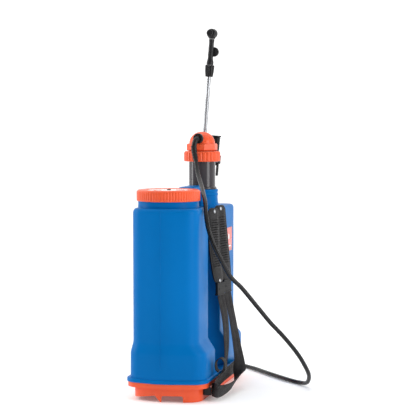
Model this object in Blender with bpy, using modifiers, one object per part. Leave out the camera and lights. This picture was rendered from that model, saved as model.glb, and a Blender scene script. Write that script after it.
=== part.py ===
"""Backpack sprayer: a lever-pumped knapsack tank with its hose, spray gun, lance and harness.

Metres, +Z up. The origin is the middle of the base's footprint on the ground. The tank is long along X:
the filler lid is at the -X end and the pump at the +X end. The wearer's back meets the -Y side.
"""
import math

import bmesh
import bpy
import numpy as np
from mathutils import Matrix, Vector

# ---- driving dimensions -------------------------------------------------------------------------
GAP = 0.0003                  # between pieces that touch
WALL = 0.003                  # tank wall
LIP_Z = (0.0410, 0.0500)      # the tank's bottom lip
RIM_Z = (0.0300, 0.0407)      # the base's rim under the lip
BULGE_TOP = 0.108             # the lower bulge ends here and chamfers in
WALL_START = 0.130
SHOULDER_Z = 0.433
FAR_SHOULDER_DROP = 0.009     # the pump end's shoulder is lower than the lid end's
SADDLE_DEPTH = 0.016          # finger room under the carry handle
SHOULDER_ROUND = 0.012

LID_X, LID_Y = -0.116, 0.011
LID_R = 0.0725
LID_Z = (0.4476, 0.4728)
FILLER_R = 0.0690             # filler neck, outside
FILLER_BORE = 0.0620
FILLER_TOP = 0.4660

PUMP_X, PUMP_Y = 0.095, -0.015
PUMP_NECK_R = 0.0372
PUMP_NECK_TOP = 0.464
CHAMBER_R = 0.0317
CHAMBER_Z = (0.201, 0.5535)
NUT_Z = (0.5305, 0.5550)
COLLAR_Z = (0.5560, 0.5730)
DOME_R = 0.0308
DOME_FOOT = 0.5735
DOME_TOP = 0.6015
OUTLET_Z = 0.5858

SHAFT_Y, SHAFT_Z = -0.048, 0.031
SHAFT_R = 0.006
CRANK_R = 0.036
CRANK_START = math.radians(-35.0)
ROLLER_R = 0.004
LEVER_X = 0.236
LEVER_TOP = 0.388

GUN_X, GUN_Y, GUN_Z = 0.268, 0.021, 0.602
GUN_TILT = math.radians(4.4)
TRIGGER_OFFSET = 0.039        # trigger bar from the lance's axis
PIVOT_ALONG = -0.0755
STEM_SIDE = 0.0300

HOSE_R = 0.005
WEB_WIDTH = 0.030
WEB_THICK = 0.0018
PAD_WIDTH = 0.046
PAD_THICK = 0.008
BUCKLE_Z = 0.2298
BUCKLE_HEIGHT = 0.0220
STRAP_TURN = -math.atan2(0.30, 0.95)   # how far the straps turn from the tank's face

BLUE = ("tank blue", (0.0, 0.13, 0.47), 0.34, 0.0)
ORANGE = ("fitting orange", (0.78, 0.085, 0.03), 0.40, 0.0)
BLACK = ("black plastic", (0.018, 0.018, 0.019), 0.42, 0.0)
CHARCOAL = ("chamber charcoal", (0.070, 0.065, 0.074), 0.34, 0.0)
WHITE = ("white plastic", (0.72, 0.72, 0.70), 0.42, 0.0)
RUBBER = ("black rubber", (0.02, 0.02, 0.02), 0.75, 0.0)
STEEL = ("bright steel", (0.62, 0.63, 0.65), 0.28, 1.0)
BRASS = ("brass", (0.70, 0.50, 0.20), 0.32, 1.0)
WEBBING = ("black webbing", (0.030, 0.028, 0.030), 0.85, 0.0)
PADDING = ("strap padding", (0.028, 0.027, 0.029), 0.80, 0.0)
LABEL = ("sticker red", (0.75, 0.07, 0.04), 0.45, 0.0)

for old in list(bpy.data.objects):
    bpy.data.objects.remove(old, do_unlink=True)
PARTS = bpy.data.collections.new("backpack_sprayer")
CUTTERS = bpy.data.collections.new("cutters")
bpy.context.scene.collection.children.link(PARTS)
bpy.context.scene.collection.children.link(CUTTERS)


# ---- helpers ------------------------------------------------------------------------------------
def material(spec):
    name, colour, rough, metal = spec
    found = bpy.data.materials.get(name)
    if found:
        return found
    made = bpy.data.materials.new(name)
    made.use_nodes = True
    shader = made.node_tree.nodes["Principled BSDF"]
    shader.inputs["Base Color"].default_value = (*colour, 1.0)
    shader.inputs["Roughness"].default_value = rough
    shader.inputs["Metallic"].default_value = metal
    made.diffuse_color = (*colour, 1.0)
    return made


def link(name, data, spec, smooth=True):
    """A new object in the parts collection, or a hidden cutter when spec is None."""
    made = bpy.data.objects.new(name, data)
    if spec is None:
        CUTTERS.objects.link(made)
        made.display_type = "WIRE"
        made.hide_render = True
        return made
    PARTS.objects.link(made)
    data.materials.append(material(spec))
    if smooth and isinstance(data, bpy.types.Mesh):
        data.shade_smooth()
        data.set_sharp_from_angle(angle=math.radians(35))
    return made


def mesh_from(bm, name):
    bmesh.ops.recalc_face_normals(bm, faces=bm.faces)
    mesh = bpy.data.meshes.new(name)
    bm.to_mesh(mesh)
    bm.free()
    return mesh


def box(name, low, high, spec, bevel=0.0):
    """An axis-aligned block, its edges rounded by a Bevel modifier."""
    low, high = Vector(low), Vector(high)
    bm = bmesh.new()
    bmesh.ops.create_cube(bm, size=1.0)
    bmesh.ops.scale(bm, vec=high - low, verts=bm.verts)
    made = link(name, mesh_from(bm, name), spec)
    made.location = (low + high) / 2
    if bevel:
        soft = made.modifiers.new("bevel", "BEVEL")
        soft.width = bevel
        soft.segments = 2
    return made


def turned(name, profile, centre, spec, steps=32, axis="Z"):
    """A turned piece: (radius, height) points down the outer side, closed when it is a ring."""
    mesh = bpy.data.meshes.new(name)
    ring = min(r for r, _ in profile) > 1e-6
    count = len(profile)
    edges = [(i, i + 1) for i in range(count - 1)]
    if ring:
        edges.append((count - 1, 0))
    mesh.from_pydata([(r, 0.0, h) for r, h in profile], edges, [])
    made = link(name, mesh, spec, smooth=False)
    screw = made.modifiers.new("turn", "SCREW")
    screw.steps = steps
    screw.render_steps = steps
    screw.use_merge_vertices = True
    screw.merge_threshold = 0.00001
    screw.use_smooth_shade = False
    made.location = centre
    if axis == "X":
        made.rotation_euler = (0.0, math.radians(90), 0.0)
    if axis == "Y":
        made.rotation_euler = (math.radians(-90), 0.0, 0.0)
    return made


def disc(radius, low, high, chamfer=0.0):
    """Profile of a plain cylinder with an optional chamfer on both rims."""
    if not chamfer:
        return [(0.0, high), (radius, high), (radius, low), (0.0, low)]
    return [(0.0, high), (radius - chamfer, high), (radius, high - chamfer),
            (radius, low + chamfer), (radius - chamfer, low), (0.0, low)]


def pipe(outer, inner, low, high, chamfer=0.0):
    """Profile of a tube's wall."""
    if not chamfer:
        return [(outer, high), (outer, low), (inner, low), (inner, high)]
    return [(outer - chamfer, high), (outer, high - chamfer), (outer, low + chamfer),
            (outer - chamfer, low), (inner, low), (inner, high)]


def boolean(target, tool, operation, remove=True):
    """Apply an exact Boolean with an object that is then removed."""
    step = target.modifiers.new(operation.lower(), "BOOLEAN")
    step.operation = operation
    step.solver = "EXACT"
    step.object = tool
    bpy.context.view_layer.update()
    graph = bpy.context.evaluated_depsgraph_get()
    mesh = bpy.data.meshes.new_from_object(target.evaluated_get(graph))
    target.modifiers.clear()
    target.data = mesh
    if remove:
        bpy.data.objects.remove(tool, do_unlink=True)
    return target


def cut(target, *tools):
    for tool in tools:
        boolean(target, tool, "DIFFERENCE")
    return target


def join(target, *tools):
    for tool in tools:
        boolean(target, tool, "UNION")
    return target


def smooth_points(route, count):
    """Points at equal steps along a Catmull-Rom curve through the route."""
    pts = [np.array(p, float) for p in route]
    pts = [2 * pts[0] - pts[1]] + pts + [2 * pts[-1] - pts[-2]]
    dense = []
    for a, b, c, d in zip(pts, pts[1:], pts[2:], pts[3:]):
        for t in np.linspace(0, 1, 24, endpoint=False):
            dense.append(0.5 * (2 * b + (c - a) * t + (2 * a - 5 * b + 4 * c - d) * t ** 2
                                + (3 * b - a - 3 * c + d) * t ** 3))
    dense.append(pts[-2])
    dense = np.array(dense)
    lengths = np.concatenate([[0], np.cumsum(np.linalg.norm(np.diff(dense[:, :3], axis=0), axis=1))])
    wanted = np.linspace(0, lengths[-1], count)
    return np.stack([np.interp(wanted, lengths, dense[:, k]) for k in range(dense.shape[1])], axis=1)


def rod(name, points, radius, spec, resolution=3):
    """A round bar or tube along the points, as a filled curve."""
    curve = bpy.data.curves.new(name, "CURVE")
    curve.dimensions = "3D"
    curve.bevel_depth = radius
    curve.bevel_resolution = resolution
    curve.use_fill_caps = True
    line = curve.splines.new("POLY")
    line.points.add(len(points) - 1)
    for point, place in zip(line.points, points):
        point.co = (*place, 1.0)
    return link(name, curve, spec)


def loft(name, sections, spec):
    """A closed body through rings of points, with flat ends."""
    bm = bmesh.new()
    rings = [[bm.verts.new(p) for p in ring] for ring in sections]
    for low, high in zip(rings, rings[1:]):
        for i in range(len(low)):
            j = (i + 1) % len(low)
            bm.faces.new((low[i], low[j], high[j], high[i]))
    bm.faces.new(rings[0])
    bm.faces.new(rings[-1])
    return link(name, mesh_from(bm, name), spec)


def ribbon(name, rows, width, thick, spec, count):
    """A flat strap through rows of (x, y, z, wx, wy, wz): a place and the way its width points."""
    rows = smooth_points(rows, count)
    centres, across = rows[:, :3], rows[:, 3:]
    sections = []
    for i, centre in enumerate(centres):
        run = centres[min(i + 1, count - 1)] - centres[max(i - 1, 0)]
        run /= np.linalg.norm(run)
        side = across[i] - run * (across[i] @ run)
        side /= np.linalg.norm(side)
        up = np.cross(run, side)
        sections.append([centre + side * s * width / 2 + up * u * thick / 2
                         for s, u in ((-1, -1), (1, -1), (1, 1), (-1, 1))])
    return loft(name, sections, spec)


def outline(corners, z, inset=0.0):
    """A closed plan outline with rounded corners, given anticlockwise as (x, y, radius)."""
    points = []
    count = len(corners)
    flat = [Vector(c[:2]) for c in corners]
    moved = []
    for i in range(count):
        a, b, c = flat[i - 1], flat[i], flat[(i + 1) % count]
        before, after = (b - a).normalized(), (c - b).normalized()
        n1, n2 = Vector((-before.y, before.x)), Vector((-after.y, after.x))
        moved.append(b + (n1 + n2) * (inset / (1.0 + n1.dot(n2))))
    for i in range(count):
        a, b, c = moved[i - 1], moved[i], moved[(i + 1) % count]
        before, after = (b - a).normalized(), (c - b).normalized()
        turn = before.angle_signed(after) * -1.0
        radius = corners[i][2]
        radius = max(radius - inset * math.copysign(1.0, turn), 0.002)
        reach = radius * math.tan(abs(turn) / 2)
        start = b - before * reach
        centre = start + Vector((-before.y, before.x)) * math.copysign(radius, turn)
        steps = max(2, round(abs(turn) / math.radians(20)))
        for k in range(steps + 1):
            arm = Matrix.Rotation(turn * k / steps, 2) @ (start - centre)
            place = centre + arm
            points.append((place.x, place.y, z))
    return points


# ---- plan outlines, anticlockwise from the wearer's side of the lid end ----------------------------
UPPER = [(-0.186, -0.073, 0.036), (-0.078, -0.073, 0.007), (-0.062, -0.035, 0.007), (0.018, -0.035, 0.007),
         (0.034, -0.073, 0.007), (0.201, -0.073, 0.024), (0.201, 0.081, 0.030), (-0.186, 0.081, 0.036),
         (-0.207, 0.006, 0.120)]
LOWER = [(-0.189, -0.091, 0.034), (-0.084, -0.091, 0.007), (-0.064, -0.045, 0.007), (0.020, -0.045, 0.007),
         (0.040, -0.091, 0.007), (0.205, -0.091, 0.022), (0.205, 0.087, 0.030), (-0.189, 0.087, 0.036),
         (-0.2095, 0.006, 0.120)]
LIP = [(-0.191, -0.095, 0.034), (0.2105, -0.095, 0.030), (0.2105, 0.095, 0.030), (-0.191, 0.095, 0.036),
       (-0.2120, 0.006, 0.120)]
RIM = [(-0.189, -0.093, 0.034), (0.2085, -0.093, 0.030), (0.2085, 0.093, 0.030), (-0.189, 0.093, 0.036),
       (-0.2100, 0.006, 0.120)]
SKIRT = [(-0.184, -0.080, 0.034), (0.200, -0.080, 0.030), (0.200, 0.078, 0.030), (-0.184, 0.078, 0.036),
         (-0.2050, 0.004, 0.120)]


def shoulder_drop(x):
    """How far the tank's top lies below the lid end's shoulder at this x."""
    far = min(max((x + 0.03) / 0.08, 0.0), 1.0)
    saddle = max(0.0, 1.0 - ((x - 0.004) / 0.040) ** 2)
    return FAR_SHOULDER_DROP * far + SADDLE_DEPTH * saddle


def tank_body(name, inset, floor, spec):
    """The tank's outer form, or its inner form when inset is the wall."""
    top = SHOULDER_Z - inset
    sections = [outline(LOWER, floor, inset), outline(LOWER, BULGE_TOP, inset),
                outline(UPPER, WALL_START + inset * 0.4, inset)]
    for angle in (0, 30, 60, 90):
        turn = math.radians(angle)
        sections.append(outline(UPPER, top - SHOULDER_ROUND * (1 - math.sin(turn)),
                                inset + SHOULDER_ROUND * 0.55 * (1 - math.cos(turn))))
    body = loft(name, sections, spec)
    bm = bmesh.new()
    bm.from_mesh(body.data)
    for x in np.arange(-0.040, 0.0561, 0.016):
        bmesh.ops.bisect_plane(bm, geom=bm.verts[:] + bm.edges[:] + bm.faces[:],
                               plane_co=(x, 0, 0), plane_no=(1, 0, 0), dist=0.00001)
    for vert in bm.verts:
        weight = min(max((vert.co.z - 0.395) / (top - 0.395), 0.0), 1.0)
        vert.co.z -= shoulder_drop(vert.co.x) * weight
    bm.to_mesh(body.data)
    bm.free()
    return body


# ---- tank ------------------------------------------------------------------------------------------
BAY = ((PUMP_X - 0.022, -0.0740), (PUMP_X + 0.022, 0.0150))   # crank space under the pump
BAY_TOP = 0.0780


def make_tank():
    tank = tank_body("tank", 0.0, LIP_Z[1] - 0.004, BLUE)
    lip = loft("lip", [outline(LIP, LIP_Z[0]), outline(LIP, LIP_Z[1] - 0.002),
                       outline(LIP, LIP_Z[1], 0.002)], BLUE)
    pump_neck = turned("pump_neck", [
        (0.0, PUMP_NECK_TOP), (PUMP_NECK_R - 0.001, PUMP_NECK_TOP), (PUMP_NECK_R + 0.0012, 0.4625),
        (PUMP_NECK_R + 0.0012, 0.4595), (PUMP_NECK_R, 0.458), (PUMP_NECK_R, 0.4545),
        (PUMP_NECK_R + 0.0012, 0.4530), (PUMP_NECK_R + 0.0012, 0.4500), (PUMP_NECK_R, 0.4485),
        (PUMP_NECK_R, 0.4350), (PUMP_NECK_R + 0.006, 0.4235), (PUMP_NECK_R + 0.006, 0.415), (0.0, 0.415)],
        (PUMP_X, PUMP_Y, 0), BLUE, 28)
    filler_neck = turned("filler_neck", disc(FILLER_R, 0.415, FILLER_TOP, 0.001), (LID_X, LID_Y, 0), BLUE, 36)
    join(tank, lip, pump_neck, filler_neck)
    inside = tank_body("inside", WALL, 0.0545, None)
    mouth = turned("mouth", disc(FILLER_BORE, 0.40, 0.48), (LID_X, LID_Y, 0), None, 36)
    pump_hole = turned("pump_hole", disc(CHAMBER_R + 0.0004, 0.40, 0.48), (PUMP_X, PUMP_Y, 0), None, 32)
    cut(tank, inside, mouth, pump_hole)
    (x0, y0), (x1, y1) = BAY
    housing = box("bay_housing", (x0 - WALL, y0 - WALL, 0.0450), (x1 + WALL, y1 + WALL, BAY_TOP + WALL), BLUE)
    join(tank, housing)
    bay = box("bay", (x0, y0, 0.030), (x1, y1, BAY_TOP), None)
    guide_hole = turned("guide_hole", disc(0.0090, 0.07, 0.09), (PUMP_X, PUMP_Y, 0), None, 24)
    cut(tank, bay, guide_hole)
    return tank


def make_base():
    base = loft("base_skirt", [outline(SKIRT, 0.0), outline(SKIRT, 0.0305)], ORANGE)
    rim = loft("rim", [outline(RIM, RIM_Z[0]), outline(RIM, RIM_Z[1])], ORANGE)
    join(base, rim)
    hollow = loft("hollow", [outline(SKIRT, -0.002, 0.0045), outline(SKIRT, 0.0340, 0.0045)], None)
    cut(base, hollow)
    (x0, y0), (x1, y1) = BAY
    bay = box("deck_bay", (x0, y0, 0.028), (0.1940, y1, 0.05), None)
    bay_wall = box("foot_rib_a", (-0.120, -0.077, 0.0), (-0.114, 0.075, 0.0345), ORANGE)
    middle_rib = box("foot_rib_b", (-0.012, -0.077, 0.0), (0.012, 0.075, 0.0345), ORANGE)
    join(base, bay_wall, middle_rib)
    shaft_hole = turned("shaft_hole", disc(0.0076, 0.19, 0.215), (0, SHAFT_Y, SHAFT_Z), None, 20, "X")
    arch = box("arch", (-0.22, -0.043, -0.01), (-0.17, 0.006, 0.0140), None, 0.004)
    step = [(0.0080, -0.0100), (0.0080, 0.0), (0.0210, 0.0140), (0.0820, 0.0050), (0.0820, -0.0100)]
    ramp = loft("ramp", [[(x, y, z) for y, z in step] for x in (-0.2200, -0.1400)], None)
    cut(base, bay, shaft_hole, arch, ramp)
    return base


def make_filler():
    """Screw lid, its gasket and vent, and the strainer that hangs in the filler neck."""
    place = (LID_X, LID_Y, 0)
    low, top = LID_Z
    skin = 0.0028
    turned("filler_lid", [
        (0.0, top - 0.0015), (0.050, top - 0.0015), (0.054, top), (LID_R - 0.004, top), (LID_R, top - 0.004),
        (LID_R, low), (LID_R - skin, low), (LID_R - skin, FILLER_TOP + 0.0020), (0.0, FILLER_TOP + 0.0020)],
        place, ORANGE, 40)
    turned("lid_gasket", pipe(FILLER_R - 0.0004, FILLER_BORE - 0.002, FILLER_TOP + GAP, FILLER_TOP + 0.0017),
           place, RUBBER, 32)
    turned("vent_valve", disc(0.0045, top - 0.0012, top + 0.0008, 0.0005), (LID_X + 0.004, LID_Y, 0),
           RUBBER, 16)
    rim, wall = FILLER_BORE - 0.0015, 0.0020
    turned("strainer_basket", [
        (0.0, 0.3860 + wall), (rim - 0.010 - wall, 0.3860 + wall), (rim - 0.004 - wall, 0.4580),
        (rim - 0.004 - wall, 0.4650), (rim, 0.4650), (rim, 0.4620), (rim - 0.004, 0.4580), (rim - 0.010, 0.3860),
        (0.0, 0.3860)], place, WHITE, 32)


def make_handle():
    """Carry handle over the saddle between the two necks."""
    y0, y1 = -0.030, 0.010
    bar = box("carry_handle", (-0.0400, y0, 0.4580), (0.0510, y1, 0.4745), BLUE, 0.0055)
    near = box("handle_post_a", (-0.0395, y0 + 0.002, 0.4336), (-0.0290, y1 - 0.002, 0.4660), BLUE, 0.002)
    far = box("handle_post_b", (0.0400, y0 + 0.002, 0.4250), (0.0505, y1 - 0.002, 0.4660), BLUE, 0.002)
    join(bar, near, far)


def dome_arc(radius, top):
    """Profile of an elliptical dome, from its top on the axis down to its foot."""
    height = top - DOME_FOOT
    steps = 8
    turns = [math.pi / 2 * k / steps for k in range(steps + 1)]
    return [(radius * math.sin(turn), DOME_FOOT + height * math.cos(turn)) for turn in turns]


def make_pump():
    """Pressure chamber, its nut and dome, and the pump below it inside the tank."""
    place = (PUMP_X, PUMP_Y, 0)
    inner = CHAMBER_R - 0.0030
    low, top = CHAMBER_Z
    turned("pressure_chamber", [
        (CHAMBER_R, top), (CHAMBER_R, 0.4672), (CHAMBER_R + 0.0030, 0.4672), (CHAMBER_R + 0.0030, 0.4643),
        (CHAMBER_R, 0.4643), (CHAMBER_R, low), (0.0035, low), (0.0035, low + 0.006), (inner, low + 0.006),
        (inner, top)], place, CHARCOAL, 28)
    turned("chamber_nut", pipe(0.0436, CHAMBER_R + GAP, NUT_Z[0], NUT_Z[1], 0.0022), place, ORANGE, 32)
    turned("dome_o_ring", pipe(CHAMBER_R - 0.0002, inner + 0.0004, top + GAP, top + 0.0022), place, RUBBER, 24)
    collar = turned("lock_collar", disc(0.0375, COLLAR_Z[0] + 0.0002, COLLAR_Z[1], 0.0020), place, ORANGE, 8)
    cut(collar, turned("collar_bore", disc(DOME_R + GAP, 0.55, 0.58), place, None, 32))
    skin = 0.0030
    outer = dome_arc(DOME_R, DOME_TOP)
    hollow = dome_arc(DOME_R - skin, DOME_TOP - skin)
    dome = turned("chamber_dome", outer + [(DOME_R, top + 0.0026), (DOME_R - skin, top + 0.0026)] + hollow[::-1],
                  place, ORANGE, 32)
    join(dome, turned("spigot", disc(0.0105, -DOME_R, -0.0190), (PUMP_X, PUMP_Y, OUTLET_Z), ORANGE, 20, "X"))

    bore = 0.0190
    cylinder = turned("pump_cylinder", [
        (0.0225, 0.2005), (0.0225, 0.0886), (0.0046, 0.0886), (0.0046, 0.0926), (bore, 0.0926), (bore, 0.2005)],
        place, WHITE, 28)
    for turn in (0, 90):
        port = turned("port", disc(0.0035, -0.03, 0.03), (PUMP_X, PUMP_Y, 0.0968), None, 12, "X")
        port.rotation_euler[2] = math.radians(turn)
        cut(cylinder, port)
    turned("rod_guide", [(0.0087, 0.0884), (0.0087, BAY_TOP - GAP), (0.0130, BAY_TOP - GAP), (0.0130, 0.0737),
                         (0.0042, 0.0737), (0.0042, 0.0884)], place, WHITE, 24)
    turned("piston", [(bore - 0.0003, 0.1120), (bore - 0.0003, 0.1030), (0.0035, 0.1030), (0.0035, 0.1120)],
           place, WHITE, 28)
    turned("piston_cup", [(bore - 0.0002, 0.1215), (bore - 0.0002, 0.1123), (0.0065, 0.1123), (0.0065, 0.1145),
                          (bore - 0.0030, 0.1145), (bore - 0.0015, 0.1215)], place, RUBBER, 28)
    for name, seat in (("inlet_ball", 0.1120), ("outlet_ball", low + 0.006)):
        bm = bmesh.new()
        bmesh.ops.create_uvsphere(bm, u_segments=12, v_segments=6, radius=0.0050)
        ball = link(name, mesh_from(bm, name), STEEL)
        ball.location = (PUMP_X, PUMP_Y, seat + 0.0040)


def make_drive():
    """Scotch yoke, crank and shaft in the base, and the pumping lever, stowed upright."""
    pin_y = SHAFT_Y + CRANK_R * math.cos(CRANK_START)
    pin_z = SHAFT_Z + CRANK_R * math.sin(CRANK_START)
    slot = ROLLER_R + 0.0010
    yoke = box("rod_yoke", (PUMP_X - 0.0035, pin_y - 0.0130, pin_z - 0.0075),
               (PUMP_X + 0.0035, PUMP_Y + 0.0110, pin_z + 0.0075), STEEL, 0.001)
    neck = turned("yoke_neck", disc(0.0055, pin_z + 0.006, pin_z + 0.0120), (PUMP_X, PUMP_Y, 0), STEEL, 16)
    join(yoke, neck)
    window = box("window", (PUMP_X - 0.01, pin_y - 0.0105, pin_z - slot),
                 (PUMP_X + 0.01, PUMP_Y + 0.0080, pin_z + slot), None)
    cut(yoke, window)
    turned("piston_rod", disc(0.0040, pin_z + 0.0123, 0.1027), (PUMP_X, PUMP_Y, 0), STEEL, 16)

    shaft_x = (0.0770, LEVER_X + 0.0120)
    turned("lever_shaft", disc(SHAFT_R, shaft_x[0], shaft_x[1], 0.0008), (0, SHAFT_Y, SHAFT_Z), STEEL, 20, "X")
    plate_x = PUMP_X + 0.0080
    hub = turned("crank_arm", pipe(0.0100, SHAFT_R + GAP, plate_x - 0.0030, plate_x + 0.0030),
                 (0, SHAFT_Y, SHAFT_Z), STEEL, 20, "X")
    web = box("crank_web", (plate_x - 0.0030, 0.0085, -0.0050), (plate_x + 0.0030, CRANK_R + 0.0050, 0.0050),
              STEEL, 0.0015)
    web.data.transform(Matrix.Translation(web.location))
    web.location = (0, SHAFT_Y, SHAFT_Z)
    web.rotation_euler = (CRANK_START, 0, 0)
    pin = turned("crank_pin", disc(0.0020, PUMP_X - 0.0038, plate_x + 0.0005), (0, pin_y, pin_z), STEEL,
                 12, "X")
    join(hub, web, pin)
    turned("crank_roller", pipe(ROLLER_R, 0.0022, PUMP_X - 0.0036, PUMP_X + 0.0036), (0, pin_y, pin_z), WHITE,
           20, "X")
    for name, x in (("shaft_bearing_inner", 0.1250), ("shaft_bearing_outer", 0.1780)):
        block = box(name, (x - 0.0060, SHAFT_Y - 0.0110, 0.0215), (x + 0.0060, SHAFT_Y + 0.0110, 0.0404), WHITE,
                    0.0012)
        cut(block, turned("bore", disc(SHAFT_R + 0.0001, x - 0.01, x + 0.01), (0, SHAFT_Y, SHAFT_Z), None,
                          20, "X"))

    socket = box("lever_socket", (LEVER_X - 0.0105, SHAFT_Y - 0.0120, 0.0180),
                 (LEVER_X + 0.0105, SHAFT_Y + 0.0120, 0.0700), BLACK, 0.003)
    cut(socket, turned("bore", disc(SHAFT_R + GAP, LEVER_X - 0.02, LEVER_X + 0.02), (0, SHAFT_Y, SHAFT_Z), None,
                       20, "X"),
        turned("tube_bore", disc(0.0073, 0.0420, 0.08), (LEVER_X, SHAFT_Y, 0), None, 20))
    turned("lever_tube", disc(0.0070, 0.0424, LEVER_TOP - 0.0060), (LEVER_X, SHAFT_Y, 0), STEEL, 20)
    turned("lever_grip", [(0.0, LEVER_TOP), (0.0075, LEVER_TOP - 0.001), (0.0100, LEVER_TOP - 0.005),
                          (0.0100, 0.2900), (0.0088, 0.2860), (0.0073, 0.2860), (0.0073, LEVER_TOP - 0.0057),
                          (0.0, LEVER_TOP - 0.0057)], (LEVER_X, SHAFT_Y, 0), BLACK, 20)


def gun_point(side, along, x=0.0):
    """World place of a point in the gun's own frame: towards the wearer, and up along the lance."""
    frame = Matrix.Translation((GUN_X, GUN_Y, GUN_Z)) @ Matrix.Rotation(GUN_TILT, 4, "X")
    return frame @ Vector((x, -side, along))


def on_gun(made, side=0.0):
    """Place a piece that was made about its own +Z on the gun's axis, or beside it."""
    made.location = gun_point(side, 0.0)
    made.rotation_euler = (GUN_TILT, 0.0, 0.0)
    return made


def gun_block(name, low, high, spec, bevel=0.0):
    """A block in the gun's frame, given as (x, towards the wearer, along)."""
    made = box(name, (low[0], -high[1], low[2]), (high[0], -low[1], high[2]), spec, bevel)
    made.data.transform(Matrix.Translation(made.location))
    return on_gun(made)


def make_gun():
    """Trigger gun, lance and nozzle, clipped upright on the tank's pump end."""
    zero = (0, 0, 0)
    body = on_gun(turned("gun_body", disc(0.0115, -0.1250, -0.0402, 0.0015), zero, BLACK, 24))
    arm = gun_block("gun_arm", (-0.0070, 0.0, -0.0700), (0.0070, 0.0430, -0.0545), BLACK, 0.003)
    lug_a = gun_block("lug_a", (-0.0095, 0.0240, -0.0810), (-0.0065, 0.0440, -0.0600), BLACK, 0.001)
    lug_b = gun_block("lug_b", (0.0065, 0.0240, -0.0810), (0.0095, 0.0440, -0.0600), BLACK, 0.001)
    stem_hole = on_gun(turned("stem_hole", disc(0.0030, -0.08, -0.03), zero, None, 12), STEM_SIDE)
    join(body, arm, lug_a, lug_b)
    cut(body, stem_hole)

    ribs = []
    for k in range(5):
        low = -0.0140 - 0.0072 * k
        ribs += [(0.0110, low), (0.0110, low - 0.0036), (0.0095, low - 0.0036), (0.0095, low - 0.0072)]
    bonnet = [(0.0, -0.0105), (0.0125, -0.0105), (0.0125, -0.0140)] + ribs[:-1]
    bonnet += [(0.0095, -0.0542), (0.0075, -0.0542), (0.0075, -0.0200), (0.0, -0.0200)]
    on_gun(turned("valve_bonnet", bonnet, zero, BLACK, 16), STEM_SIDE)
    on_gun(turned("valve_stem", disc(0.0024, -0.0758, -0.0250), zero, BRASS, 12), STEM_SIDE)

    on_gun(turned("gun_grip", [(0.0140, -0.1262), (0.0150, -0.1400), (0.0140, -0.2300), (0.0120, -0.2480),
                               (0.0060, -0.2480), (0.0060, -0.1262)], zero, BLACK, 24))
    on_gun(turned("hose_nut_gun", pipe(0.0100, HOSE_R + GAP, -0.2740, -0.2483, 0.0012), zero, BLACK, 12))
    on_gun(turned("lance_nut", pipe(0.0120, 0.0053, -0.0399, -0.0180, 0.0015), zero, BLACK, 12))
    on_gun(turned("lance_tube", pipe(0.0050, 0.0036, -0.0390, 0.1350), zero, STEEL, 16))

    trigger = gun_block("trigger", (-0.0055, 0.0365, -0.1110), (0.0055, 0.0415, -0.0800), BLACK, 0.0018)
    pivot = gun_point(TRIGGER_OFFSET, PIVOT_ALONG)
    boss = turned("boss", disc(0.0045, -0.0062, 0.0062), pivot, BLACK, 16, "X")
    toe = gun_block("toe", (-0.0050, 0.0255, -0.0850), (0.0050, 0.0415, -0.0766), BLACK, 0.0012)
    join(trigger, boss, toe)
    bore = turned("bore", disc(0.0017, -0.02, 0.02), pivot, None, 12, "X")
    cut(trigger, bore)
    body_bore = turned("bore", disc(0.0017, -0.02, 0.02), pivot, None, 12, "X")
    cut(body, body_bore)
    turned("trigger_pin", disc(0.0015, -0.0098, 0.0098), pivot, STEEL, 10, "X")

    on_gun(turned("nozzle_nut", [(0.0105, 0.1640), (0.0115, 0.1625), (0.0112, 0.1500), (0.0092, 0.1345),
                                 (0.0053, 0.1345), (0.0053, 0.1640)], zero, BLACK, 16))
    on_gun(turned("nozzle_stem", [(0.0, 0.2290), (0.0070, 0.2290), (0.0070, 0.1760), (0.0085, 0.1735),
                                         (0.0085, 0.1643), (0.0032, 0.1643), (0.0032, 0.2250), (0.0, 0.2250)],
                         zero, BLACK, 20))
    head = on_gun(turned("nozzle_head", disc(0.0120, -0.0105, 0.0105, 0.0030), zero, BLACK, 20, "Y"))
    head.location = gun_point(0.0, 0.2426)
    head.rotation_euler = (math.radians(-90) + GUN_TILT, 0.0, math.radians(78))
    bud = on_gun(turned("bud", disc(0.0090, 0.2294, 0.2400), zero, BLACK, 16))
    join(head, bud)
    cap = turned("nozzle_cap", disc(0.0085, 0.0110, 0.0170, 0.0012), zero, BLACK, 16, "Y")
    cap.location = gun_point(0.0, 0.2426)
    cap.rotation_euler = head.rotation_euler
    turned("flow_dial", disc(0.0122, 0.0073, 0.0140, 0.0010), gun_point(0.0058, 0.1975), BLACK, 20, "X")

    clip_y = (0.0560, 0.0680)
    for name, along in (("gun_clip_upper", -0.1700), ("gun_clip_lower", -0.2150)):
        centre = gun_point(0.0, along)
        ring = turned(name, pipe(0.0190, 0.0156, -0.0060, 0.0060), centre, BLACK, 24)
        ring.rotation_euler = (GUN_TILT, 0.0, 0.0)
        mouth = box("mouth", centre + Vector((0.004, -0.0100, -0.02)), centre + Vector((0.03, 0.0100, 0.02)),
                    None)
        cut(ring, mouth)
        arm = box("clip_arm", (0.2040, clip_y[0], centre.z - 0.0060),
                  (centre.x - 0.0020, clip_y[1], centre.z + 0.0060), BLACK, 0.0015)
        reach = box("clip_reach", (centre.x - 0.0080, centre.y + 0.0168, centre.z - 0.0052),
                    (centre.x - 0.0030, clip_y[1] - 0.0020, centre.z + 0.0052), BLACK, 0.0012)
        foot = box("clip_foot", (0.2014, clip_y[0] - 0.0120, centre.z - 0.0100),
                   (0.2055, clip_y[1] + 0.0040, centre.z + 0.0100), BLACK, 0.0012)
        join(ring, arm, reach, foot)


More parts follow.
